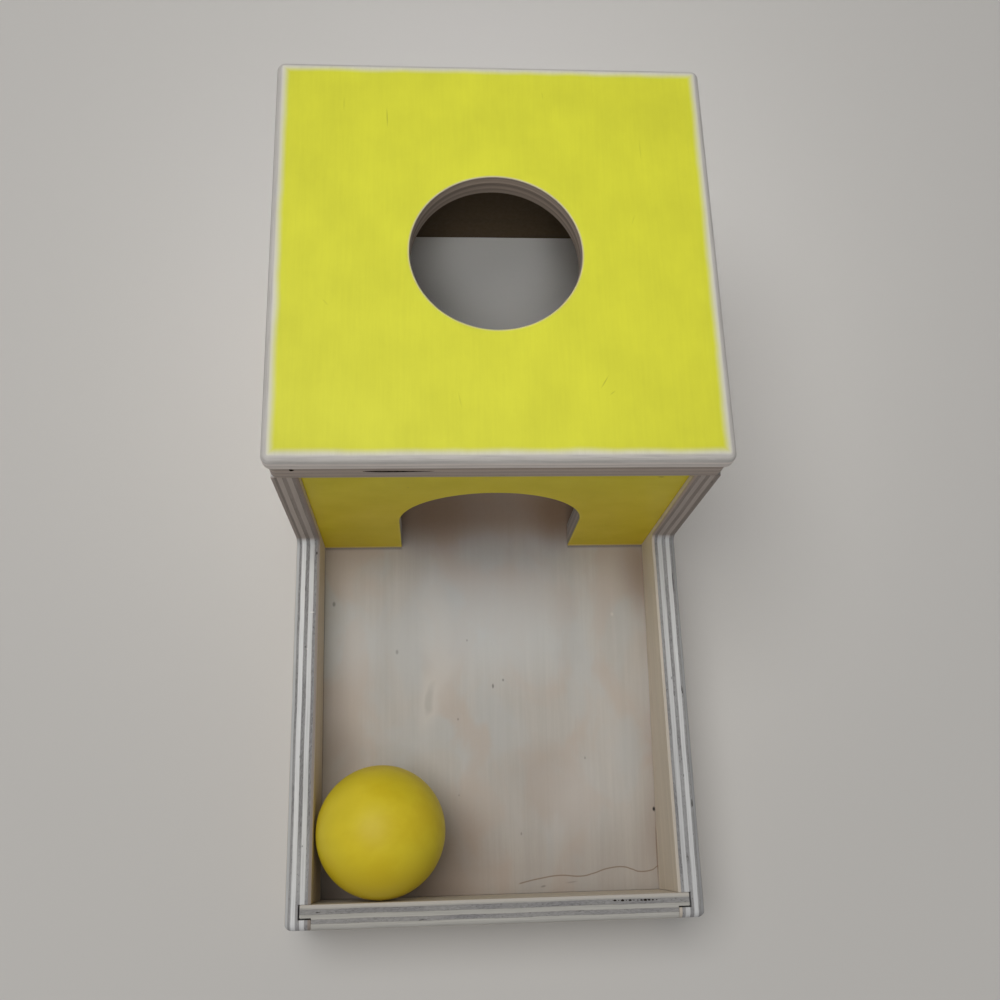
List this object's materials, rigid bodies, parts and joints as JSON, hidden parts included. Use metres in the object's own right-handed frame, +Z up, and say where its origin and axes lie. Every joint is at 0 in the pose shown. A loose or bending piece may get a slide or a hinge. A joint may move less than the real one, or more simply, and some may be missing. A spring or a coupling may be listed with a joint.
{
  "type": "object permanence box",
  "caption": "Plywood toy box with a round drop hole in its yellow lid, an arched exit and a low open tray in front, on one sloping floor that the wooden ball rolls down.",
  "frame": {"origin": "On the table, under the centre of the part's outer box", "axes": "+Z up, -Y out of the tray's front, +Y towards the tall box's back, +X to the right when seen from the tray"},
  "size_m": [0.15, 0.29, 0.13],
  "materials": {
    "yellow_paint": "satin",
    "plywood": "matte",
    "floor_veneer": "matte",
    "ball_paint": "satin"
  },
  "bodies": {
    "box": {"lid": "yellow_paint", "top_frame": "plywood", "left_side": "plywood", "right_side": "plywood", "front_panel": "yellow_paint", "back_panel": "plywood", "tray_front": "plywood", "floor_panel": "floor_veneer"},
    "ball": {"ball": "ball_paint"}
  },
  "joints": [
    {"name": "ball_lift", "type": "slide", "parent": "box", "child": "ball", "axis": [0, 0, 1], "range_m": [0, 0.125]}
  ]
}
